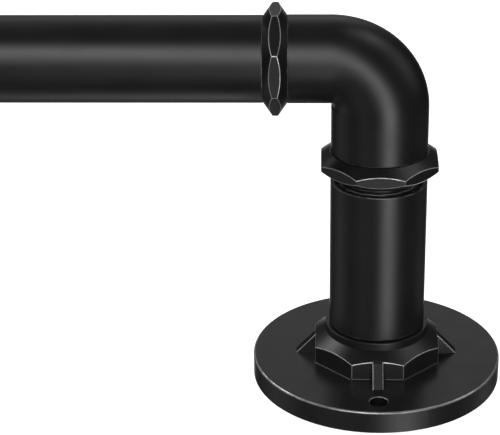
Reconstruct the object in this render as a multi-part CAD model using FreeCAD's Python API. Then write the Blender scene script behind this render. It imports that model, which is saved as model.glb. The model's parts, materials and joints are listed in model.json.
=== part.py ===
import FreeCAD, Part
import math
import os

Vector = FreeCAD.Vector

# Telescopic curtain rod carried by two wall returns. All sizes in millimetres.
# X runs along the rod, Z points away from the wall, and the wall plane is Z = 0.
# The origin lies on the wall plane, midway between the two flanges.
# Each end is modelled in its own frame: return axis on Z, rod leaving along +X.

# ---- length and reach ----
shortest_spacing = 711.0       # between the two return axes, rod pushed fully in
drawn_out = 51.0               # how far the rod stands pulled out
projection = 102.6             # wall plane to the rod's axis

# ---- tubes ----
rod_diameter = 25.4            # outer rod tube
rod_wall = 0.8
slide_gap = 0.8                # radial, between the outer rod tube and the slim one
slim_rod_wall = 0.8
return_diameter = 28.8         # short tube that stands off the wall
return_wall = 1.1
tube_edge = 0.3                # bevel on every cut tube end

# ---- wall flange, from its centre outwards ----
neck_overhang = 1.2            # neck ring past the return tube, radial
neck_height = 2.4
neck_bevel = 0.3
boss_cone_run = 4.7            # octagon corner past the neck ring, radial
boss_slope = 1.45              # radius lost per unit of height on the boss's cone
boss_side_height = 5.0         # of the octagon's corners above the plate
rib_run = 4.2                  # rib tip past the octagon's corner circle
rib_thickness = 3.2            # along its crest
rib_draft = 0.12               # half thickness gained per unit of depth below the crest
rib_step = 0.15                # crest's start below the boss's ridge
rib_to_hole = 4.05
screw_hole_diameter = 5.5      # one hole each way along Y
hole_to_rim = 3.7
plate_thickness = 7.0
plate_bevel = 0.5
plate_floor = 2.5              # metal left behind the blind thread

# ---- octagon lock nuts ----
nut_length = 7.0
nut_cone_slope = 1.4           # radius lost per unit of length on the nut's cones
return_nut_shoulder = 4.2      # octagon corner past the return tube, radial
return_nut_edge = 1.4          # length of each corner that the cones leave
rod_nut_shoulder = 3.75
rod_nut_edge = 1.6

# ---- threads, drawn as rings of the pitch ----
thread_pitch = 1.5
thread_depth = 0.75
thread_root_share = 0.9        # width of one ring at its root, as a share of the pitch
thread_crest_share = 0.3       # and at its crest
thread_clearance = 0.1         # radial, between a nipple and what it screws into
nipple_wall = 2.2              # under the thread's roots
nipple_end_gap = 1.5           # a nipple stops this far short of its socket's end
head_insert_wall = 1.4         # outside the thread's crests
rod_insert_wall = 1.3
insert_length = 14.0           # of the insert in a rod tube
insert_gap = 16.25             # left between the foot and head inserts in a return tube
insert_recess = 3.0            # head insert below the return tube's rim

# ---- elbow ----
elbow_step = 0.1               # radial step between an elbow leg and its tube
bend_inner_radius = 0.25       # inside of the bend, along the thicker leg
return_leg_straight = 13.6
rod_leg_straight = 12.35
passage_diameter = 14.0

# ---- gaps and seats ----
bare_thread = 2.5              # left between the return tube and its nut
seat_gap = 0.3                 # return tube above the flange's neck
face_clearance = 0.05          # between faces that turn against each other

# ---- guide, mouth bush and collar of the telescope ----
running_clearance = 0.1        # radial, between sliding or turning pieces
mouth_lip = 1.5
mouth_sleeve_length = 18.0
guide_head_length = 12.0
guide_spigot_length = 16.0
guide_bore_diameter = 14.0
collar_length = 15.0
collar_bevel = 1.0
closed_gap = 2.0               # mouth to collar, rod pushed fully in
end_gap = 3.0                  # guide to rod insert, rod pushed fully in

# ---- octagons and turns ----
full_turn = 360.0
octagon_sides = 8
octagon_step = full_turn / octagon_sides
octagon_half_step = octagon_step / 2       # turns the octagon's flats square to X and Y

# ---- radii that follow from the tubes ----
rod_radius = rod_diameter / 2
rod_bore = rod_radius - rod_wall
slim_radius = rod_bore - slide_gap
slim_bore = slim_radius - slim_rod_wall
return_radius = return_diameter / 2
return_bore = return_radius - return_wall
elbow_thread_radius = return_bore - head_insert_wall
rod_thread_radius = slim_bore - rod_insert_wall
elbow_return_radius = return_radius - elbow_step
elbow_rod_radius = rod_radius + elbow_step

# ---- flange levels and circles ----
neck_radius = return_radius + neck_overhang
boss_radius = neck_radius + boss_cone_run
boss_flat = boss_radius * math.cos(math.radians(octagon_half_step))
rib_reach = boss_radius + rib_run
hole_offset = rib_reach + rib_to_hole + screw_hole_diameter / 2
plate_radius = hole_offset + screw_hole_diameter / 2 + hole_to_rim
neck_start = plate_thickness + boss_side_height + boss_cone_run / boss_slope
neck_top = neck_start + neck_height
rib_crest = neck_start - (boss_flat - neck_radius) / boss_slope - rib_step

# ---- stations along the return axis ----
bend_radius = max(elbow_return_radius, elbow_rod_radius) + bend_inner_radius
bend_start = projection - bend_radius
elbow_face = bend_start - return_leg_straight
return_nut_top = elbow_face - face_clearance
return_nut_bottom = return_nut_top - nut_length
return_top = return_nut_bottom - bare_thread
return_bottom = neck_top + seat_gap

# ---- stations along the rod, from the return axis ----
rod_face = bend_radius + rod_leg_straight
rod_start = rod_face + nut_length
closed_run = shortest_spacing - 2 * rod_start
outer_length = closed_run - collar_length - closed_gap - mouth_lip
slim_length = closed_run - insert_length - end_gap - guide_head_length - face_clearance
spacing = shortest_spacing + drawn_out

origin = Vector(0, 0, 0)
up = Vector(0, 0, 1)


def turned(profile):
    """Solid of revolution about Z from (radius, z) points."""
    points = [Vector(radius, 0, z) for radius, z in profile]
    face = Part.Face(Part.makePolygon(points + [points[0]]))
    return face.revolve(origin, up, full_turn)


def tube(outer, bore, start, end, bevel=tube_edge):
    return turned([
        (bore, start),
        (outer - bevel, start),
        (outer, start + bevel),
        (outer, end - bevel),
        (outer - bevel, end),
        (bore, end),
    ])


def thread_rings(crest_radius, bore, crest_at, start, end):
    """Threaded rod from start to end whose ring crests keep step with crest_at."""
    root = crest_radius - thread_depth
    root_half = thread_root_share * thread_pitch / 2
    crest_half = thread_crest_share * thread_pitch / 2
    rings_below = math.floor((crest_at - start - thread_pitch / 2) / thread_pitch)
    rings_above = math.floor((end - crest_at - thread_pitch / 2) / thread_pitch)
    profile = [(bore, start), (root, start)]
    for ring in range(-rings_below, rings_above + 1):
        middle = crest_at + ring * thread_pitch
        profile += [
            (root, middle - root_half),
            (crest_radius, middle - crest_half),
            (crest_radius, middle + crest_half),
            (root, middle + root_half),
        ]
    profile += [(root, end), (bore, end)]
    return turned(profile)


def thread_tool(crest_radius, crest_at, start, end):
    """What is cut out of a piece so that a nipple of this size screws into it."""
    return thread_rings(crest_radius + thread_clearance, 0, crest_at, start, end)


def nipple(crest_radius, crest_at, start, end):
    bore = crest_radius - thread_depth - nipple_wall
    return thread_rings(crest_radius, bore, crest_at, start, end)


def octagon(corner_radius, start, length):
    corners = []
    for corner in range(octagon_sides + 1):
        angle = math.radians(octagon_half_step + octagon_step * corner)
        corners.append(Vector(corner_radius * math.cos(angle), corner_radius * math.sin(angle), start))
    return Part.Face(Part.makePolygon(corners)).extrude(Vector(0, 0, length))


def lock_nut(corner_radius, edge, crest_radius, crest_at, start):
    """Octagon nut whose corners are turned away by a cone on each face."""
    end = start + nut_length
    middle = start + nut_length / 2
    face_radius = corner_radius - nut_cone_slope * (nut_length - edge) / 2
    middle_radius = corner_radius + nut_cone_slope * edge / 2
    cones = turned([(0, start), (face_radius, start), (middle_radius, middle), (face_radius, end), (0, end)])
    body = octagon(corner_radius, start, nut_length).common(cones)
    return body.cut(thread_tool(crest_radius, crest_at, start - thread_pitch, end + thread_pitch))


def insert(outer, crest_radius, crest_at, start, end):
    """Threaded plug pressed into a tube's end."""
    body = tube(outer, 0, start, end)
    return body.cut(thread_tool(crest_radius, crest_at, start - thread_pitch, end + thread_pitch))


def along_rod(shape):
    """Lay a piece built on Z down on the rod's axis."""
    laid = shape.copy()
    laid.rotate(origin, Vector(0, 1, 0), full_turn / 4)
    laid.translate(Vector(0, 0, projection))
    return laid


def wall_flange():
    cone_at_wall = neck_radius + boss_slope * neck_start
    plate = tube(plate_radius, 0, 0, plate_thickness, plate_bevel)
    cone = turned([(0, 0), (cone_at_wall, 0), (neck_radius, neck_start), (0, neck_start)])
    boss = octagon(boss_radius, plate_thickness / 2, neck_start - plate_thickness / 2).common(cone)
    neck = tube(neck_radius, 0, neck_start - neck_height, neck_top, neck_bevel)
    flange = plate.fuse([boss, neck] + flange_ribs()).removeSplitter()
    flange = flange.cut(thread_tool(rod_thread_radius, neck_top, plate_floor, neck_top + thread_pitch))
    for way in (-1, 1):
        drill = Part.makeCylinder(screw_hole_diameter / 2, plate_thickness, Vector(0, way * hole_offset, 0))
        flange = flange.cut(drill)
    return flange


def rib_section(reach, crest):
    """Corners of a rib's upright section, which is wider at its foot inside the plate."""
    foot = plate_thickness / 2
    crest_half = rib_thickness / 2
    foot_half = crest_half + rib_draft * (crest - foot)
    return [
        Vector(reach, -foot_half, foot),
        Vector(reach, foot_half, foot),
        Vector(reach, crest_half, crest),
        Vector(reach, -crest_half, crest),
    ]


def solid_between(first, last):
    """Solid whose two ends are these sections and whose sides are flat."""
    outlines = [first, last]
    for corner, point in enumerate(first):
        after = (corner + 1) % len(first)
        outlines.append([point, first[after], last[after], last[corner]])
    faces = [Part.Face(Part.makePolygon(outline + outline[:1])) for outline in outlines]
    return Part.Solid(Part.Shell(faces))


def flange_ribs():
    """Four drafted gussets that run down from the boss's ridge along X and Y."""
    root = rib_section(neck_radius, rib_crest)
    middle = rib_section(boss_flat, rib_crest)
    tip = rib_section(rib_reach, plate_thickness)
    ribs = []
    for stretch in (solid_between(root, middle), solid_between(middle, tip)):
        for quarter in range(4):
            turned_rib = stretch.copy()
            turned_rib.rotate(origin, up, quarter * full_turn / 4)
            ribs.append(turned_rib)
    return ribs


def bend_sweep(start_radius, end_radius):
    """Quarter bend from the return axis to the rod's axis, tapering on the way."""
    centre = Vector(bend_radius, 0, bend_start)
    first = Vector(0, 0, bend_start)
    last = Vector(bend_radius, 0, projection)
    diagonal = bend_radius * math.sqrt(0.5)
    spine = Part.Wire([Part.Arc(first, centre + Vector(-diagonal, 0, diagonal), last).toShape()])
    first_section = Part.Wire([Part.Circle(first, up, start_radius).toShape()])
    last_section = Part.Wire([Part.Circle(last, Vector(1, 0, 0), end_radius).toShape()])
    return spine.makePipeShell([first_section, last_section], True, False)


def elbow():
    return_leg = tube(elbow_return_radius, 0, elbow_face, bend_start, 0)
    rod_leg = along_rod(tube(elbow_rod_radius, 0, bend_radius, rod_face, 0))
    body = bend_sweep(elbow_return_radius, elbow_rod_radius).fuse([return_leg, rod_leg])
    passage = bend_sweep(passage_diameter / 2, passage_diameter / 2)
    return_thread = thread_tool(elbow_thread_radius, bare_crest, elbow_face - thread_pitch, bend_start)
    rod_thread = thread_tool(rod_thread_radius, rod_start, bend_radius, rod_face + thread_pitch)
    return body.cut(passage).cut(return_thread).cut(along_rod(rod_thread))


# One crest of the elbow nipple stands in the middle of the bare stretch.
bare_crest = (return_top + return_nut_bottom) / 2
head_insert_top = return_top - insert_recess
return_insert_length = (head_insert_top - neck_top - insert_gap) / 2
head_insert_bottom = head_insert_top - return_insert_length
foot_insert_top = neck_top + return_insert_length
insert_end = rod_start + insert_length


def return_pieces():
    """Pieces on the return axis, flange to elbow."""
    return {
        "wall_flange": wall_flange(),
        "flange_nipple": nipple(rod_thread_radius, neck_top, plate_floor + nipple_end_gap,
                                foot_insert_top - nipple_end_gap),
        "foot_insert": insert(return_bore, rod_thread_radius, neck_top, neck_top, foot_insert_top),
        "return_tube": tube(return_radius, return_bore, return_bottom, return_top),
        "head_insert": insert(return_bore, elbow_thread_radius, bare_crest,
                              head_insert_bottom, head_insert_top),
        "elbow_nipple": nipple(elbow_thread_radius, bare_crest, head_insert_bottom + nipple_end_gap,
                               bend_start - nipple_end_gap),
        "return_nut": lock_nut(return_radius + return_nut_shoulder, return_nut_edge,
                               elbow_thread_radius, bare_crest, return_nut_bottom),
        "elbow": elbow(),
    }


def rod_end_pieces(tube_bore):
    """Pieces that join a rod tube of this bore to its elbow."""
    return {
        "rod_nut": along_rod(lock_nut(rod_radius + rod_nut_shoulder, rod_nut_edge,
                                      rod_thread_radius, rod_start, rod_face)),
        "rod_nipple": along_rod(nipple(rod_thread_radius, rod_start, bend_radius + nipple_end_gap,
                                       insert_end - nipple_end_gap)),
        "rod_insert": along_rod(insert(tube_bore, rod_thread_radius, rod_start, rod_start, insert_end)),
    }


def outer_rod_pieces():
    """Outer tube and the bush in its mouth, in the right end's frame."""
    mouth = rod_start + outer_length
    bush = turned([
        (slim_radius + running_clearance, mouth - mouth_sleeve_length),
        (rod_bore, mouth - mouth_sleeve_length),
        (rod_bore, mouth),
        (rod_radius - tube_edge, mouth),
        (rod_radius, mouth + tube_edge),
        (rod_radius, mouth + mouth_lip - tube_edge),
        (rod_radius - tube_edge, mouth + mouth_lip),
        (slim_radius + running_clearance, mouth + mouth_lip),
    ])
    return {
        "outer_rod_tube": along_rod(tube(rod_radius, rod_bore, rod_start, mouth)),
        "mouth_bush": along_rod(bush),
    }


def slim_rod_pieces():
    """Slim tube, its end collar and its guide, in the left end's frame."""
    slim_end = rod_start + slim_length
    head_start = slim_end + face_clearance
    head_end = head_start + guide_head_length
    guide = turned([
        (guide_bore_diameter / 2, slim_end - guide_spigot_length),
        (slim_bore - running_clearance, slim_end - guide_spigot_length),
        (slim_bore - running_clearance, head_start),
        (rod_bore - running_clearance, head_start),
        (rod_bore - running_clearance, head_end - tube_edge),
        (rod_bore - running_clearance - tube_edge, head_end),
        (guide_bore_diameter / 2, head_end),
    ])
    collar_end = rod_start + collar_length
    collar = turned([
        (slim_radius, rod_start),
        (rod_radius - tube_edge, rod_start),
        (rod_radius, rod_start + tube_edge),
        (rod_radius, collar_end - collar_bevel),
        (rod_radius - collar_bevel, collar_end),
        (slim_radius, collar_end),
    ])
    return {
        "slim_rod_tube": along_rod(tube(slim_radius, slim_bore, rod_start, slim_end)),
        "end_collar": along_rod(collar),
        "guide_bush": along_rod(guide),
    }


def place_left(shape):
    placed = shape.copy()
    placed.translate(Vector(-spacing / 2, 0, 0))
    return placed


def place_right(shape):
    """The right end is the left one turned half round, never mirrored."""
    placed = shape.copy()
    placed.rotate(origin, up, full_turn / 2)
    placed.translate(Vector(spacing / 2, 0, 0))
    return placed


def all_pieces():
    pieces = {}
    for name, shape in {**return_pieces(), **rod_end_pieces(slim_bore)}.items():
        pieces["left_" + name] = place_left(shape)
    for name, shape in {**return_pieces(), **rod_end_pieces(rod_bore)}.items():
        pieces["right_" + name] = place_right(shape)
    for name, shape in slim_rod_pieces().items():
        pieces[name] = place_left(shape)
    for name, shape in outer_rod_pieces().items():
        pieces[name] = place_right(shape)
    return pieces


os.makedirs("parts", exist_ok=True)
for name, shape in all_pieces().items():
    shape.exportStep(f"parts/{name}.step")
    box = shape.BoundBox
    print(f"{name:20s} solids {len(shape.Solids)} valid {shape.isValid()} "
          f"x {box.XMin:.1f}..{box.XMax:.1f} z {box.ZMin:.1f}..{box.ZMax:.1f}")
print(f"travel in {-drawn_out:.1f}, axis height {projection:.1f}, right axis at {spacing / 2:.1f}, "
      f"hole offset {hole_offset:.2f}, nut middle {(return_nut_top + return_nut_bottom) / 2:.2f}")
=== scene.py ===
import json
import math
import bmesh
import bpy
from mathutils import Matrix, Vector


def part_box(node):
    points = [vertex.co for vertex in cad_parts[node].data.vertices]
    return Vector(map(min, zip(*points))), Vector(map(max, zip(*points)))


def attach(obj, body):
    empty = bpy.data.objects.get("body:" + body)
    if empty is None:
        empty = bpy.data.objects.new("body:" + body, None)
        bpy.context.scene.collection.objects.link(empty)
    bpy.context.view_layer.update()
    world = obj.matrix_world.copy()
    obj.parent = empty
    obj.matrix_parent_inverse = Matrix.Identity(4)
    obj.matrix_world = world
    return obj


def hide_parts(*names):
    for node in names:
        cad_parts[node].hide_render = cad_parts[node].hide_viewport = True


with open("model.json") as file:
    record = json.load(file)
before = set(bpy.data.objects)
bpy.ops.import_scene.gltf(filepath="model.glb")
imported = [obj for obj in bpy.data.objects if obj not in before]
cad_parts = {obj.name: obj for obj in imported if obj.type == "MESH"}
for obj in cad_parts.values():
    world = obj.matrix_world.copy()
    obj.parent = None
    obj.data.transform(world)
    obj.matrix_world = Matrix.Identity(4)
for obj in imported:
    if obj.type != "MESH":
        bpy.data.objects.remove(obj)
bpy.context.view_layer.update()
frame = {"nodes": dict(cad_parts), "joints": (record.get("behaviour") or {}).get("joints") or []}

nodes = frame["nodes"]
mm = 0.001

# the two return axes stand at x = -returnX and +returnX, and the rod's axis runs at height rodZ
joints = {joint["name"]: joint for joint in frame["joints"]}
returnX = joints["right_elbow_swivel"]["pos_m"][0]
rodZ = joints["rod_twist"]["pos_m"][2]

# every end piece is built with its return axis on Z and the rod leaving along +X, then placed
endPlace = {
    "left": Matrix.Translation((-returnX, 0, 0)),
    "right": Matrix.Translation((returnX, 0, 0)) @ Matrix.Rotation(math.pi, 4, "Z"),
}
layOnRod = Matrix.Translation((0, 0, rodZ)) @ Matrix.Rotation(math.pi / 2, 4, "Y")
standoffBody = {"left": "left_standoff", "right": "right_standoff"}
cornerBody = {"left": "left_corner", "right": "right_corner"}
nutBody = {"left": "left_lock_nut", "right": "right_lock_nut"}


def reachFromReturn(node, side):
    # largest radius of a CAD piece about its own return axis
    axis = returnX if side == "right" else -returnX
    return max(math.hypot(v.co.x - axis, v.co.y) for v in nodes[node].data.vertices)


def reachFromRod(node):
    return max(math.hypot(v.co.y, v.co.z - rodZ) for v in nodes[node].data.vertices)


def halfDepth(node):
    low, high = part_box(node)
    return (high.y - low.y) / 2


def heights(node):
    low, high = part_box(node)
    return low.z, high.z


def spanAlongRod(node, side):
    # where a piece starts and ends along the rod, counted from its own return axis
    low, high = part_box(node)
    if side == "right":
        return returnX - high.x, returnX - low.x
    return low.x + returnX, high.x + returnX


outlineForm = {
    "arcSteps": 5,
    "hold": 0.2 * mm,            # a holding point this far past each end of an arc keeps the flats flat
    "arcShare": 0.4,             # an arc takes no more than this share of a side
    "holdShare": 0.3,
}


def roundedOutline(corners, hold=outlineForm["hold"]):
    # corners are (radius, height, rounding); a rounded one becomes a small arc with a holding point each side
    steps, arcShare, holdShare = outlineForm["arcSteps"], outlineForm["arcShare"], outlineForm["holdShare"]
    points = []
    for index, (radius, height, rounding) in enumerate(corners):
        here = Vector((radius, height))
        if rounding == 0:
            points.append(here)
            continue
        before = Vector(corners[index - 1][:2]) - here
        after = Vector(corners[(index + 1) % len(corners)][:2]) - here
        opening = before.angle(after)
        reach = rounding / math.tan(opening / 2)
        reach = min(reach, arcShare * before.length, arcShare * after.length)
        start = here + before.normalized() * reach
        end = here + after.normalized() * reach
        inward = (before.normalized() + after.normalized()).normalized()
        centre = here + inward * (reach / math.cos(opening / 2))
        spoke = start - centre
        turn = spoke.angle_signed(end - centre)
        points.append(start + before.normalized() * min(hold, holdShare * (before.length - reach)))
        for step in range(steps + 1):
            points.append(centre + Matrix.Rotation(-turn * step / steps, 2) @ spoke)
        points.append(end + after.normalized() * min(hold, holdShare * (after.length - reach)))
    return points


def evenAngles(count):
    return [2 * math.pi * step / count for step in range(count)]


# an octagon's flats face X and Y; its upright corners are rounded
octagonHalf = math.pi / 8
octagonForm = {"alongFlat": 18, "roundCorner": 6}


def flatEnd(flat, rounding):
    return math.atan2((flat - rounding) * math.tan(octagonHalf), flat)


def octagonAngles(flat, rounding):
    alongFlat, roundCorner = octagonForm["alongFlat"], octagonForm["roundCorner"]
    tangent = flatEnd(flat, rounding)
    cornerSwing = 2 * (octagonHalf - tangent)
    angles = []
    for side in range(8):
        middle = side * 2 * octagonHalf
        angles += [middle + tangent * (2 * step / alongFlat - 1) for step in range(alongFlat)]
        angles += [middle + tangent + cornerSwing * step / roundCorner for step in range(roundCorner)]
    return angles


def octagonReach(angle, flat, rounding):
    local = abs((angle + octagonHalf) % (2 * octagonHalf) - octagonHalf)
    if local <= flatEnd(flat, rounding):
        return flat / math.cos(local)
    off = octagonHalf - local
    centre = (flat - rounding) / math.cos(octagonHalf)
    return centre * math.cos(off) + math.sqrt(rounding ** 2 - (centre * math.sin(off)) ** 2)


def spun(outlineAt, angles):
    # outlineAt(angle) gives one closed outline of (radius, height) points, always the same number of them
    rings = [outlineAt(angle) for angle in angles]
    size = len(rings[0])
    points, faces = [], []
    for angle, ring in zip(angles, rings):
        points += [(p.x * math.cos(angle), p.x * math.sin(angle), p.y) for p in ring]
    for a in range(len(angles)):
        b = (a + 1) % len(angles)
        for i in range(size):
            j = (i + 1) % size
            faces.append((a * size + i, b * size + i, b * size + j, a * size + j))
    return points, faces


mendForm = {"weld": 1e-7, "collapse": 1e-8}


def meshObject(name, points, faces):
    data = bpy.data.meshes.new(name)
    data.from_pydata([tuple(p) for p in points], [], faces)
    item = bpy.data.objects.new(name, data)
    bpy.context.scene.collection.objects.link(item)
    tidy = bmesh.new()
    tidy.from_mesh(data)
    bmesh.ops.remove_doubles(tidy, verts=tidy.verts, dist=mendForm["weld"])
    bmesh.ops.dissolve_degenerate(tidy, edges=tidy.edges, dist=mendForm["collapse"])
    loose = [edge for edge in tidy.edges if not edge.link_faces]
    bmesh.ops.delete(tidy, geom=loose, context="EDGES")
    bmesh.ops.recalc_face_normals(tidy, faces=tidy.faces)
    tidy.to_mesh(data)
    tidy.free()
    return item


# how sharply a rounded edge turns, per metre, before the worn coat and painted edge highlight start and where
# they are strongest
wearAndHighlightForm = {"startsAt": 1150, "fullAt": 1800, "smallestFace": 1e-12}


def shadeAndWearHighlight(item, crease, spared):
    # smooth shading, and a mask of worn coat and painted edge highlight on the tight edges further than
    # spared from the piece's own axis
    tidy = bmesh.new()
    tidy.from_mesh(item.data)
    # face mask for pale metal on tight edges: partly worn coat, partly painted edge highlight lines
    wearHighlightLayer = tidy.faces.layers.float.new("edgeWear")
    for edge in tidy.edges:
        edge.smooth = len(edge.link_faces) == 2 and edge.calc_face_angle() < math.radians(crease)
    for face in tidy.faces:
        face.smooth = True
        turn = sum(edge.calc_face_angle_signed(0) * edge.calc_length() for edge in face.edges)
        curving = turn / 2 / max(face.calc_area(), wearAndHighlightForm["smallestFace"])
        share = (curving - wearAndHighlightForm["startsAt"]) / (wearAndHighlightForm["fullAt"] - wearAndHighlightForm["startsAt"])
        middle = face.calc_center_median()
        face[wearHighlightLayer] = min(max(share, 0), 1) if math.hypot(middle.x, middle.y) > spared else 0
    tidy.to_mesh(item.data)
    tidy.free()
    even = item.modifiers.new("evenFlats", "WEIGHTED_NORMAL")
    even.keep_sharp = True


# an edge that turns by more than this many degrees is shaded as a sharp one
creaseForm = {"usual": 32, "thread": 60}


def fitPiece(item, place, material, body, stoodFor, crease=creaseForm["usual"], spared=0):
    # put a finished piece where its CAD node is, and let it ride on the same body
    shadeAndWearHighlight(item, crease, spared)
    item.data.transform(place)
    item.data.materials.clear()
    item.data.materials.append(material)
    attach(item, body)
    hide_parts(stoodFor)


noiseDetail = 3.0


def newMaterial(name):
    material = bpy.data.materials.new(name)
    material.use_nodes = True
    return material, material.node_tree.nodes, material.node_tree.links


def noiseField(nodeSet, links, coords, scale):
    noise = nodeSet.new("ShaderNodeTexNoise")
    noise.inputs["Scale"].default_value = scale
    noise.inputs["Detail"].default_value = noiseDetail
    links.new(coords.outputs["Object"], noise.inputs["Vector"])
    return noise.outputs["Fac"]


def mapped(nodeSet, links, value, low, high, fromLow=0.3, fromHigh=0.7):
    span = nodeSet.new("ShaderNodeMapRange")
    span.inputs["From Min"].default_value = fromLow
    span.inputs["From Max"].default_value = fromHigh
    span.inputs["To Min"].default_value = low
    span.inputs["To Max"].default_value = high
    links.new(value, span.inputs["Value"])
    return span.outputs["Result"]


def product(nodeSet, links, first, second):
    times = nodeSet.new("ShaderNodeMath")
    times.operation = "MULTIPLY"
    links.new(first, times.inputs[0])
    links.new(second, times.inputs[1])
    return times.outputs["Value"]


def blended(nodeSet, links, share, first, second):
    # first and second are a colour or another node's output
    mix = nodeSet.new("ShaderNodeMix")
    mix.data_type = "RGBA"
    for socket, value in ((mix.inputs["A"], first), (mix.inputs["B"], second)):
        if isinstance(value, tuple):
            socket.default_value = (*value, 1)
        else:
            links.new(value, socket)
    links.new(share, mix.inputs["Factor"])
    return mix.outputs["Result"]


def coatedMetal(name, look):
    # baked black coat: cloudy tone, fine orange peel, and a thin pale metal line along the tight edges that
    # is partly worn bare metal and partly a painted highlight
    material, nodeSet, links = newMaterial(name)
    shader = nodeSet["Principled BSDF"]
    coords = nodeSet.new("ShaderNodeTexCoord")
    cloud = mapped(nodeSet, links, noiseField(nodeSet, links, coords, look["cloudScale"]), 0, 1)
    tone = blended(nodeSet, links, cloud, look["deepTone"], look["paleTone"])

    # the masked edges turn pale and metallic: partly worn bare metal, partly a painted highlight line
    edge = nodeSet.new("ShaderNodeAttribute")
    edge.attribute_name = "edgeWear"
    rubbedHighlight = noiseField(nodeSet, links, coords, look["rubScale"])
    rubbedHighlight = mapped(nodeSet, links, rubbedHighlight, look["rubLeast"], look["rubMost"])
    wornAndHighlit = product(nodeSet, links, edge.outputs["Fac"], rubbedHighlight)
    links.new(blended(nodeSet, links, wornAndHighlit, tone, look["bareTone"]), shader.inputs["Base Color"])
    links.new(wornAndHighlit, shader.inputs["Metallic"])

    patch = noiseField(nodeSet, links, coords, look["patchScale"])
    low, high = look["roughness"]
    links.new(mapped(nodeSet, links, patch, low, high), shader.inputs["Roughness"])
    peel = nodeSet.new("ShaderNodeBump")
    peel.inputs["Strength"].default_value = look["peelStrength"]
    peel.inputs["Distance"].default_value = look["peelDepth"]
    links.new(noiseField(nodeSet, links, coords, look["peelScale"]), peel.inputs["Height"])
    links.new(peel.outputs["Normal"], shader.inputs["Normal"])
    shader.inputs["IOR"].default_value = look["gloss"]
    return material


powderLook = {
    "deepTone": (0.0085, 0.0085, 0.0088),
    "paleTone": (0.0115, 0.0115, 0.0118),
    # pale bare metal on the masked edges, which also paints the edge highlight lines
    "bareTone": (0.7, 0.7, 0.71),
    "cloudScale": 60,
    "rubScale": 330,
    "rubLeast": 0.4,
    "rubMost": 1.0,
    "patchScale": 140,
    "roughness": (0.29, 0.34),
    "peelScale": 2600,
    "peelStrength": 0.12,
    "peelDepth": 0.02 * mm,
    "gloss": 1.5,
}
# tubes get little of the worn edge and its painted highlight; thread crests get somewhat more
tubeLook = {**powderLook, "rubLeast": 0.0, "rubMost": 0.2}
nutLook = {**powderLook, "roughness": (0.28, 0.34)}
threadLook = {**powderLook, "roughness": (0.28, 0.38), "rubLeast": 0.1, "rubMost": 0.5}

powderBlack = coatedMetal("powderBlack", powderLook)
tubeBlack = coatedMetal("tubeBlack", tubeLook)
nutBlack = coatedMetal("nutBlack", nutLook)
threadBlack = coatedMetal("threadBlack", threadLook)


def plainFinish(name, look):
    material, nodeSet, links = newMaterial(name)
    shader = nodeSet["Principled BSDF"]
    coords = nodeSet.new("ShaderNodeTexCoord")
    grain = noiseField(nodeSet, links, coords, look["grainScale"])
    share = mapped(nodeSet, links, grain, 0, 1)
    tone = blended(nodeSet, links, share, look["deepTone"], look["paleTone"])
    links.new(tone, shader.inputs["Base Color"])
    low, high = look["roughness"]
    links.new(mapped(nodeSet, links, grain, low, high), shader.inputs["Roughness"])
    dimple = nodeSet.new("ShaderNodeBump")
    dimple.inputs["Strength"].default_value = look["bumpStrength"]
    dimple.inputs["Distance"].default_value = look["bumpDepth"]
    links.new(grain, dimple.inputs["Height"])
    links.new(dimple.outputs["Normal"], shader.inputs["Normal"])
    shader.inputs["Metallic"].default_value = look["metallic"]
    return material


zincPlate = plainFinish("zincPlate", {
    "deepTone": (0.36, 0.36, 0.37),
    "paleTone": (0.48, 0.48, 0.49),
    "grainScale": 400,
    "roughness": (0.25, 0.42),
    "bumpStrength": 0.15,
    "bumpDepth": 0.03 * mm,
    "metallic": 1.0,
})
nylonBlack = plainFinish("nylonBlack", {
    "deepTone": (0.016, 0.016, 0.017),
    "paleTone": (0.024, 0.024, 0.025),
    "grainScale": 900,
    "roughness": (0.45, 0.58),
    "bumpStrength": 0.2,
    "bumpDepth": 0.02 * mm,
    "metallic": 0.0,
})

for nodeName, node in nodes.items():
    node.data.materials.clear()
    node.data.materials.append(nylonBlack if nodeName == "guide_bush" else zincPlate)
print("finishes ready")


tubeForm = {"segments": 160, "edgeRound": 0.3 * mm, "returnWall": 1.1 * mm, "rodWall": 0.8 * mm}


def tubePiece(name, node, place, body, start, end, radius, wall):
    edge = tubeForm["edgeRound"]
    outline = roundedOutline([
        (radius - wall, start, edge / 2),
        (radius, start, edge),
        (radius, end, edge),
        (radius - wall, end, edge / 2),
    ])
    item = meshObject(name, *spun(lambda angle: outline, evenAngles(tubeForm["segments"])))
    fitPiece(item, place, tubeBlack, body, node)


for side in ("left", "right"):
    node = f"{side}_return_tube"
    tubePiece(f"{side}ReturnTube", node, endPlace[side], standoffBody[side], *heights(node),
              reachFromReturn(node, side), tubeForm["returnWall"])
tubePiece("outerRodTube", "outer_rod_tube", endPlace["right"] @ layOnRod, "right_corner",
          *spanAlongRod("outer_rod_tube", "right"), reachFromRod("outer_rod_tube"), tubeForm["rodWall"])
tubePiece("slimRodTube", "slim_rod_tube", endPlace["left"] @ layOnRod, "left_corner",
          *spanAlongRod("slim_rod_tube", "left"), reachFromRod("slim_rod_tube"), tubeForm["rodWall"])
print("tubes made")


mouthForm = {
    "segments": 128,
    "lipLength": 1.5 * mm,
    "lipRound": 0.45 * mm,
    "playOnSlimTube": 0.1 * mm,
}


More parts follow.
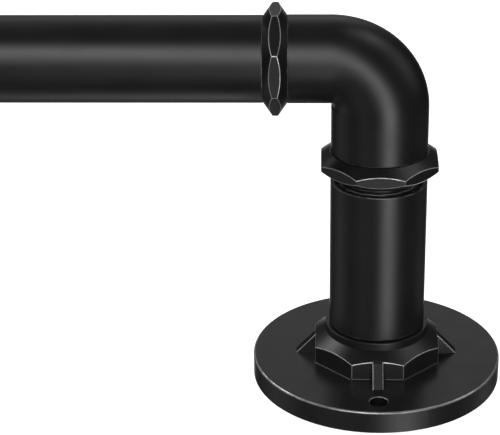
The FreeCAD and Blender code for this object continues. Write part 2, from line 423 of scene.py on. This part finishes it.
def mouthBush():
    near, far = spanAlongRod("mouth_bush", "right")
    lip = far - mouthForm["lipLength"]
    lipRound = mouthForm["lipRound"]
    outer = reachFromRod("mouth_bush")
    bore = reachFromRod("slim_rod_tube") + mouthForm["playOnSlimTube"]
    sleeve = reachFromRod("outer_rod_tube") - tubeForm["rodWall"]
    outline = roundedOutline([
        (bore, near, 0),
        (sleeve, near, 0),
        (sleeve, lip, 0),
        (outer, lip, lipRound / 2),
        (outer, far, lipRound),
        (bore, far, lipRound / 2),
    ])
    item = meshObject("mouthBush", *spun(lambda angle: outline, evenAngles(mouthForm["segments"])))
    fitPiece(item, endPlace["right"] @ layOnRod, nylonBlack, "right_corner", "mouth_bush")


collarForm = {"segments": 128, "taper": 1.0 * mm, "edgeRound": 0.3 * mm}


def endCollar():
    near, far = spanAlongRod("end_collar", "left")
    outer = reachFromRod("end_collar")
    bore = reachFromRod("slim_rod_tube")
    taper, edge = collarForm["taper"], collarForm["edgeRound"]
    outline = roundedOutline([
        (bore, near, 0),
        (outer, near, edge),
        (outer, far - taper, edge),
        (outer - taper, far, edge),
        (bore, far, 0),
    ])
    item = meshObject("endCollar", *spun(lambda angle: outline, evenAngles(collarForm["segments"])))
    fitPiece(item, endPlace["left"] @ layOnRod, nutBlack, "left_corner", "end_collar")


mouthBush()
endCollar()
print("bush and collar made")


nutForm = {
    "coneSlope": 1.4,            # radius lost per unit of length
    "returnEdge": 1.4 * mm,      # what the cones leave of each corner
    "rodEdge": 1.6 * mm,
    "returnCorner": 0.85 * mm,   # rounding of the upright corners
    "rodCorner": 0.4 * mm,
    "ridgeRound": 0.3 * mm,      # where cone and flat meet
    "boreGap": 0.1 * mm,
    "hold": 0.12 * mm,
}


def lockNut(name, node, place, body, span, edge, rounding, threadRadius):
    start, end = span
    flat = halfDepth(node)
    slope, ridge = nutForm["coneSlope"], nutForm["ridgeRound"]
    faceRadius = flat / math.cos(octagonHalf) - slope * (end - start - edge) / 2
    bore = threadRadius + nutForm["boreGap"]

    def outlineAt(angle):
        reach = octagonReach(angle, flat, rounding)
        drop = (reach - faceRadius) / slope
        return roundedOutline([
            (bore, start, 0),
            (faceRadius, start, 0),
            (reach, start + drop, ridge),
            (reach, end - drop, ridge),
            (faceRadius, end, 0),
            (bore, end, 0),
        ], hold=nutForm["hold"])

    item = meshObject(name, *spun(outlineAt, octagonAngles(flat, rounding)))
    fitPiece(item, place, nutBlack, body, node)


for side in ("left", "right"):
    node = f"{side}_return_nut"
    lockNut(f"{side}ReturnNut", node, endPlace[side], nutBody[side], heights(node),
            nutForm["returnEdge"], nutForm["returnCorner"], reachFromReturn(f"{side}_elbow_nipple", side))
    node = f"{side}_rod_nut"
    lockNut(f"{side}RodNut", node, endPlace[side] @ layOnRod, cornerBody[side], spanAlongRod(node, side),
            nutForm["rodEdge"], nutForm["rodCorner"], reachFromRod(f"{side}_rod_nipple"))
print("lock nuts made")


elbowForm = {
    "insideOfBend": 0.25 * mm,   # radius left on the inside of the bend
    "around": 144,
    "bendSteps": 48,
    "faceRound": 0.25 * mm,
    "roundSteps": 4,
    "hold": 0.2 * mm,
    "passage": 7.0 * mm,
}


def elbowRings(side):
    # closed round trip of rings: outside from the return face to the rod face, then back through the bore
    node = f"{side}_elbow"
    low = heights(node)[0]
    reach = spanAlongRod(node, side)[1]
    thick = halfDepth(node)
    thin = heights(node)[1] - rodZ
    bend = max(thick, thin) + elbowForm["insideOfBend"]
    bendLow = rodZ - bend
    edge, hold = elbowForm["faceRound"], elbowForm["hold"]
    steps, roundSteps = elbowForm["bendSteps"], elbowForm["roundSteps"]
    up, out = 0, math.pi / 2     # ring facing up the return leg, ring facing out along the rod
    rings = []

    def addRing(x, z, facing, radius):
        across = Vector((math.cos(facing), 0, -math.sin(facing)))
        centre = Vector((x, 0, z))
        for angle in evenAngles(elbowForm["around"]):
            rings.append(centre + (across * math.cos(angle) + Vector((0, math.sin(angle), 0))) * radius)

    def addBendRing(facing, radius):
        addRing(bend - bend * math.cos(facing), bendLow + bend * math.sin(facing), facing, radius)

    for step in range(roundSteps + 1):
        swing = step / roundSteps * math.pi / 2
        addRing(0, low + edge * (1 - math.cos(swing)), up, thick - edge * (1 - math.sin(swing)))
    addRing(0, low + edge + hold, up, thick)
    for step in range(steps + 1):
        share = step / steps
        ease = share * share * (3 - 2 * share)
        addBendRing(share * out, thick + (thin - thick) * ease)
    addRing(reach - edge - hold, rodZ, out, thin)
    for step in range(roundSteps + 1):
        swing = step / roundSteps * math.pi / 2
        addRing(reach - edge * (1 - math.sin(swing)), rodZ, out, thin - edge * (1 - math.cos(swing)))

    rodSocket = reachFromRod(f"{side}_rod_nipple")
    returnSocket = reachFromReturn(f"{side}_elbow_nipple", side)
    addRing(reach, rodZ, out, rodSocket)
    addRing(bend, rodZ, out, rodSocket)
    for step in range(steps + 1):
        addBendRing((1 - step / steps) * out, elbowForm["passage"])
    addRing(0, bendLow, up, returnSocket)
    addRing(0, low, up, returnSocket)
    return rings


def elbowPiece(side):
    points = elbowRings(side)
    around = elbowForm["around"]
    ringCount = len(points) // around
    faces = []
    for a in range(ringCount):
        b = (a + 1) % ringCount
        for i in range(around):
            j = (i + 1) % around
            faces.append((a * around + i, a * around + j, b * around + j, b * around + i))
    item = meshObject(f"{side}Elbow", points, faces)
    fitPiece(item, endPlace[side], tubeBlack, cornerBody[side], f"{side}_elbow")


for side in ("left", "right"):
    elbowPiece(side)
print("elbows made")


# the nipple under each elbow has a real helix, because one turn of it stays bare above the return tube
threadForm = {
    "pitch": 1.5 * mm,
    "depth": 0.75 * mm,
    "wall": 2.2 * mm,
    "crestHalf": 0.13,           # half width of the crest, as a share of the pitch
    "rootHalf": 0.40,
    "samplesPerTurn": 14,
    "around": 96,
}


def threadedNipple(side):
    node = f"{side}_elbow_nipple"
    low, high = heights(node)
    crest = reachFromReturn(node, side)
    root = crest - threadForm["depth"]
    bore = root - threadForm["wall"]
    pitch = threadForm["pitch"]
    crestHalf, rootHalf = threadForm["crestHalf"], threadForm["rootHalf"]
    bareMiddle = (heights(f"{side}_return_tube")[1] + heights(f"{side}_return_nut")[0]) / 2
    count = round((high - low) / pitch * threadForm["samplesPerTurn"])

    def threadReach(angle, height):
        # a crest passes the middle of the bare stretch on the -Y side
        turns = (height - bareMiddle) / pitch - (angle - math.pi / 2) / (2 * math.pi)
        off = abs((turns + 0.5) % 1 - 0.5)
        share = min(max((rootHalf - off) / (rootHalf - crestHalf), 0), 1)
        return root + (crest - root) * share * share * (3 - 2 * share)

    def outlineAt(angle):
        outline = [Vector((bore, low)), Vector((root, low))]
        for step in range(1, count):
            height = low + (high - low) * step / count
            outline.append(Vector((threadReach(angle, height), height)))
        return outline + [Vector((root, high)), Vector((bore, high))]

    item = meshObject(f"{side}ElbowNipple", *spun(outlineAt, evenAngles(threadForm["around"])))
    fitPiece(item, endPlace[side], threadBlack, cornerBody[side], node,
             crease=creaseForm["thread"])


for side in ("left", "right"):
    threadedNipple(side)
print("nipples made")


flangeForm = {
    "plate": 7.0 * mm,
    "rimRound": 0.55 * mm,
    "bossSlope": 1.45,
    "bossRound": 0.35 * mm,
    "bossFoot": 0.45 * mm,       # fillet where the boss leaves the plate
    "bossRun": 4.7 * mm,         # octagon corner past the neck ring
    "neckOverhang": 1.2 * mm,
    "neckHeight": 2.4 * mm,
    "neckRound": 0.2 * mm,
    "socketFloor": 2.5 * mm,
    "ribRun": 4.2 * mm,
    "ribThickness": 3.2 * mm,    # along its crest
    "ribDraft": 0.12,            # half thickness gained per unit of depth below the crest
    "ribBlend": 0.4 * mm,        # crest follows the cone this far inside the boss's ridge
    "ribShoulder": 0.25 * mm,    # and this far past it, before it falls to the plate
    "ribProud": 0.01 * mm,
    "ribBuried": 0.6 * mm,       # tip carried on below the plate's face
    "ribRound": 0.22 * mm,
    "ribRoundSteps": 4,
    "ribRoundProfile": 0.5,      # a circular arc
    "ribToHole": 4.05 * mm,
    "holeRadius": 2.75 * mm,
    "holeBevel": 0.15 * mm,
    "holeSegments": 64,
    "toolPast": 1.0 * mm,        # the hole's tool stands out past both faces
}


def flangeRibs(neckRadius, neckStart, bossRadius):
    form = flangeForm
    plate, past = form["plate"], form["ribBuried"]
    foot = plate / 2
    crestHalf = form["ribThickness"] / 2
    bossFlat = bossRadius * math.cos(octagonHalf)
    start, shoulder = bossFlat - form["ribBlend"], bossFlat + form["ribShoulder"]
    tip = bossRadius + form["ribRun"]

    def alongCone(x):
        return neckStart - (x - neckRadius) / form["bossSlope"] + form["ribProud"]

    fall = (alongCone(shoulder) - plate) / (tip - shoulder)
    stations = [
        (neckRadius, alongCone(start)),
        (start, alongCone(start)),
        (shoulder, alongCone(shoulder)),
        (tip + past, plate - past * fall),
    ]
    points, faces = [], []
    for quarter in range(4):
        turn = Matrix.Rotation(quarter * math.pi / 2, 3, "Z")
        first = len(points)
        for x, top in stations:
            footHalf = crestHalf + form["ribDraft"] * (top - foot)
            for y, z in ((-footHalf, foot), (footHalf, foot), (crestHalf, top), (-crestHalf, top)):
                points.append(turn @ Vector((x, y, z)))
        for station in range(len(stations) - 1):
            here = first + 4 * station
            for corner in range(4):
                after = (corner + 1) % 4
                faces.append((here + corner, here + after, here + after + 4, here + corner + 4))
        faces.append(tuple(range(first, first + 4)))
        last = first + 4 * (len(stations) - 1)
        faces.append(tuple(range(last + 3, last - 1, -1)))
    ribs = meshObject("ribTool", points, faces)
    tidy = bmesh.new()
    tidy.from_mesh(ribs.data)
    bmesh.ops.bevel(tidy, geom=tidy.edges[:], offset=form["ribRound"], segments=form["ribRoundSteps"],
                    profile=form["ribRoundProfile"], affect="EDGES")
    bmesh.ops.recalc_face_normals(tidy, faces=tidy.faces)
    tidy.to_mesh(ribs.data)
    tidy.free()
    return ribs


def holeTool(offset):
    form = flangeForm
    radius, bevel, plate, past = form["holeRadius"], form["holeBevel"], form["plate"], form["toolPast"]
    outline = [Vector(point) for point in (
        (0, -past), (radius, -past), (radius, plate - bevel),
        (radius + bevel + past, plate + past), (0, plate + past),
    )]
    tool = meshObject("holeTool", *spun(lambda angle: outline, evenAngles(form["holeSegments"])))
    tool.data.transform(Matrix.Translation((0, offset, 0)))
    return tool


def combine(item, tool, operation):
    cut = item.modifiers.new("join", "BOOLEAN")
    cut.operation = operation
    cut.solver = "EXACT"
    cut.object = tool
    depsgraph = bpy.context.evaluated_depsgraph_get()
    result = bpy.data.meshes.new_from_object(item.evaluated_get(depsgraph))
    item.modifiers.clear()
    item.data = result
    bpy.data.objects.remove(tool)


def wallFlange(side):
    form = flangeForm
    node = f"{side}_wall_flange"
    rim = reachFromReturn(node, side)
    neckTop = heights(node)[1]
    neckStart = neckTop - form["neckHeight"]
    neckRadius = reachFromReturn(f"{side}_return_tube", side) + form["neckOverhang"]
    bossRadius = neckRadius + form["bossRun"]
    bossFlat = bossRadius * math.cos(octagonHalf)
    bore = reachFromReturn(f"{side}_flange_nipple", side)
    plate = form["plate"]

    def outlineAt(angle):
        reach = octagonReach(angle, bossFlat, form["bossRound"])
        shoulder = neckStart - (reach - neckRadius) / form["bossSlope"]
        return roundedOutline([
            (0, 0, 0),
            (rim, 0, form["rimRound"] / 2),
            (rim, plate, form["rimRound"]),
            (reach, plate, form["bossFoot"]),
            (reach, shoulder, form["bossRound"]),
            (neckRadius, neckStart, 0),
            (neckRadius, neckTop, form["neckRound"]),
            (bore, neckTop, 0),
            (bore, form["socketFloor"], 0),
            (0, form["socketFloor"], 0),
        ])

    item = meshObject(f"{side}WallFlange", *spun(outlineAt, octagonAngles(bossFlat, form["bossRound"])))
    combine(item, flangeRibs(neckRadius, neckStart, bossRadius), "UNION")
    holeOffset = bossRadius + form["ribRun"] + form["ribToHole"] + form["holeRadius"]
    for way in (-1, 1):
        combine(item, holeTool(way * holeOffset), "DIFFERENCE")
    fitPiece(item, endPlace[side], powderBlack, standoffBody[side], node, spared=neckRadius)


for side in ("left", "right"):
    wallFlange(side)
print("flanges made")


stageForm = {"size": 12.0, "drop": 0.3 * mm, "tone": (0.9, 0.9, 0.9), "roughness": 0.9, "glow": 1.0}


def paleFloor():
    half = stageForm["size"] / 2
    level = -stageForm["drop"]
    corners = [(-half, -half, level), (half, -half, level), (half, half, level), (-half, half, level)]
    floor = meshObject("paleFloor", corners, [(0, 1, 2, 3)])
    material, nodeSet, links = newMaterial("paleFloor")
    shader = nodeSet["Principled BSDF"]
    shader.inputs["Base Color"].default_value = (*stageForm["tone"], 1)
    shader.inputs["Roughness"].default_value = stageForm["roughness"]
    shader.inputs["Emission Color"].default_value = (1, 1, 1, 1)
    shader.inputs["Emission Strength"].default_value = stageForm["glow"]
    floor.data.materials.append(material)
    # a lit white table: the room's light comes up through it, so it neither shades nor mirrors in the metal
    floor.visible_glossy = False
    floor.visible_diffuse = False
    floor.visible_shadow = False


# Soft patches of light all round. Heading 0 faces the right-hand end from -Y and grows towards +X, height is
# in degrees above the table, and spread is how far from its middle a patch has faded to half. Most rows are
# the rounded result of a computed light fit, and some were then changed.
roomForm = {
    "backdrop": 1.0,
    "fill": 0.01,
    "patches": {
        "key": {"heading": -19, "height": 40, "spread": 10, "glow": 4.0},
        "keyMiddle": {"heading": 0, "height": 32, "spread": 10, "glow": 2.4},
        "keyLow": {"heading": 10, "height": 17, "spread": 10, "glow": 2.4},
        "keyLeft": {"heading": -12, "height": 22, "spread": 10, "glow": 1.0},
        "front": {"heading": 19, "height": 2, "spread": 10, "glow": 2.3},
        "lowFront": {"heading": 21, "height": -16, "spread": 11, "glow": 3.7},
        "lowFrontSide": {"heading": 29, "height": -32, "spread": 11, "glow": 1.2},
        "under": {"heading": 150, "height": -83, "spread": 14, "glow": 0.8},
        "lowRight": {"heading": 124, "height": -48, "spread": 10, "glow": 1.7},
        "underRight": {"heading": 110, "height": -66, "spread": 11, "glow": 3.6},
        "leftHigh": {"heading": -125, "height": 46, "spread": 10, "glow": 4.9},
        "left": {"heading": -85, "height": 31, "spread": 11, "glow": 1.4},
        "rightHigh": {"heading": 111, "height": 57, "spread": 11, "glow": 1.6},
        "right": {"heading": 97, "height": 24, "spread": 15, "glow": 0.6},
        "back": {"heading": 178, "height": 33, "spread": 17, "glow": 0.55},
        "lowBack": {"heading": 180, "height": -21, "spread": 11, "glow": 2.2},
        "lowLeft": {"heading": -100, "height": -29, "spread": 18, "glow": 0.3},
        "lowFrontLeft": {"heading": -38, "height": -28, "spread": 14, "glow": 0.3},
    },
}


def facing(heading, height):
    turn, lift = math.radians(heading), math.radians(height)
    return Vector((math.sin(turn) * math.cos(lift), -math.cos(turn) * math.cos(lift), math.sin(lift)))


def softRoom():
    world = bpy.data.worlds.new("softRoom")
    bpy.context.scene.world = world
    world.use_nodes = True
    nodeSet, links = world.node_tree.nodes, world.node_tree.links
    coords = nodeSet.new("ShaderNodeTexCoord")

    def maths(operation, first, second=0.0):
        step = nodeSet.new("ShaderNodeMath")
        step.operation = operation
        for socket, value in zip(step.inputs, (first, second)):
            if isinstance(value, (int, float)):
                socket.default_value = value
            else:
                links.new(value, socket)
        return step.outputs["Value"]

    total = roomForm["fill"]
    for patch in roomForm["patches"].values():
        along = nodeSet.new("ShaderNodeVectorMath")
        along.operation = "DOT_PRODUCT"
        links.new(coords.outputs["Generated"], along.inputs[0])
        along.inputs[1].default_value = facing(patch["heading"], patch["height"])
        tightness = math.log(2) / (1 - math.cos(math.radians(patch["spread"])))
        off = maths("SUBTRACT", along.outputs["Value"], 1.0)
        glow = maths("MULTIPLY", maths("EXPONENT", maths("MULTIPLY", off, tightness)), patch["glow"])
        total = maths("ADD", total, glow)

    # the camera sees a plain pale backdrop past the table's edge
    path = nodeSet.new("ShaderNodeLightPath")
    seen = nodeSet.new("ShaderNodeMix")
    links.new(path.outputs["Is Camera Ray"], seen.inputs["Factor"])
    links.new(total, seen.inputs["A"])
    seen.inputs["B"].default_value = roomForm["backdrop"]
    links.new(seen.outputs["Result"], nodeSet["Background"].inputs["Strength"])
    nodeSet["Background"].inputs["Color"].default_value = (1, 1, 1, 1)


# the camera's place, angles and lens are the result of a computed camera fit
cameraForm = {
    "place": (returnX - 18.3 * mm, -514.8 * mm, 293.0 * mm),
    "heading": -2.233,           # degrees towards +X from straight along +Y
    "dip": 25.064,
    "roll": -0.789,
    "lens": 136.55,
    "sensor": 36.0,
    "nearest": 0.01,
}


def placeCamera():
    form = cameraForm
    data = bpy.data.cameras.new("viewCamera")
    data.lens = form["lens"]
    data.sensor_width = form["sensor"]
    data.clip_start = form["nearest"]
    item = bpy.data.objects.new("viewCamera", data)
    turn = Matrix.Rotation(math.radians(-form["heading"]), 4, "Z")
    dip = Matrix.Rotation(math.radians(90 - form["dip"]), 4, "X")
    roll = Matrix.Rotation(math.radians(form["roll"]), 4, "Z")
    item.matrix_world = Matrix.Translation(form["place"]) @ turn @ dip @ roll
    bpy.context.scene.collection.objects.link(item)
    bpy.context.scene.camera = item


paleFloor()
softRoom()
placeCamera()
bpy.context.scene.view_settings.view_transform = "Standard"
print("stage, light and camera set")
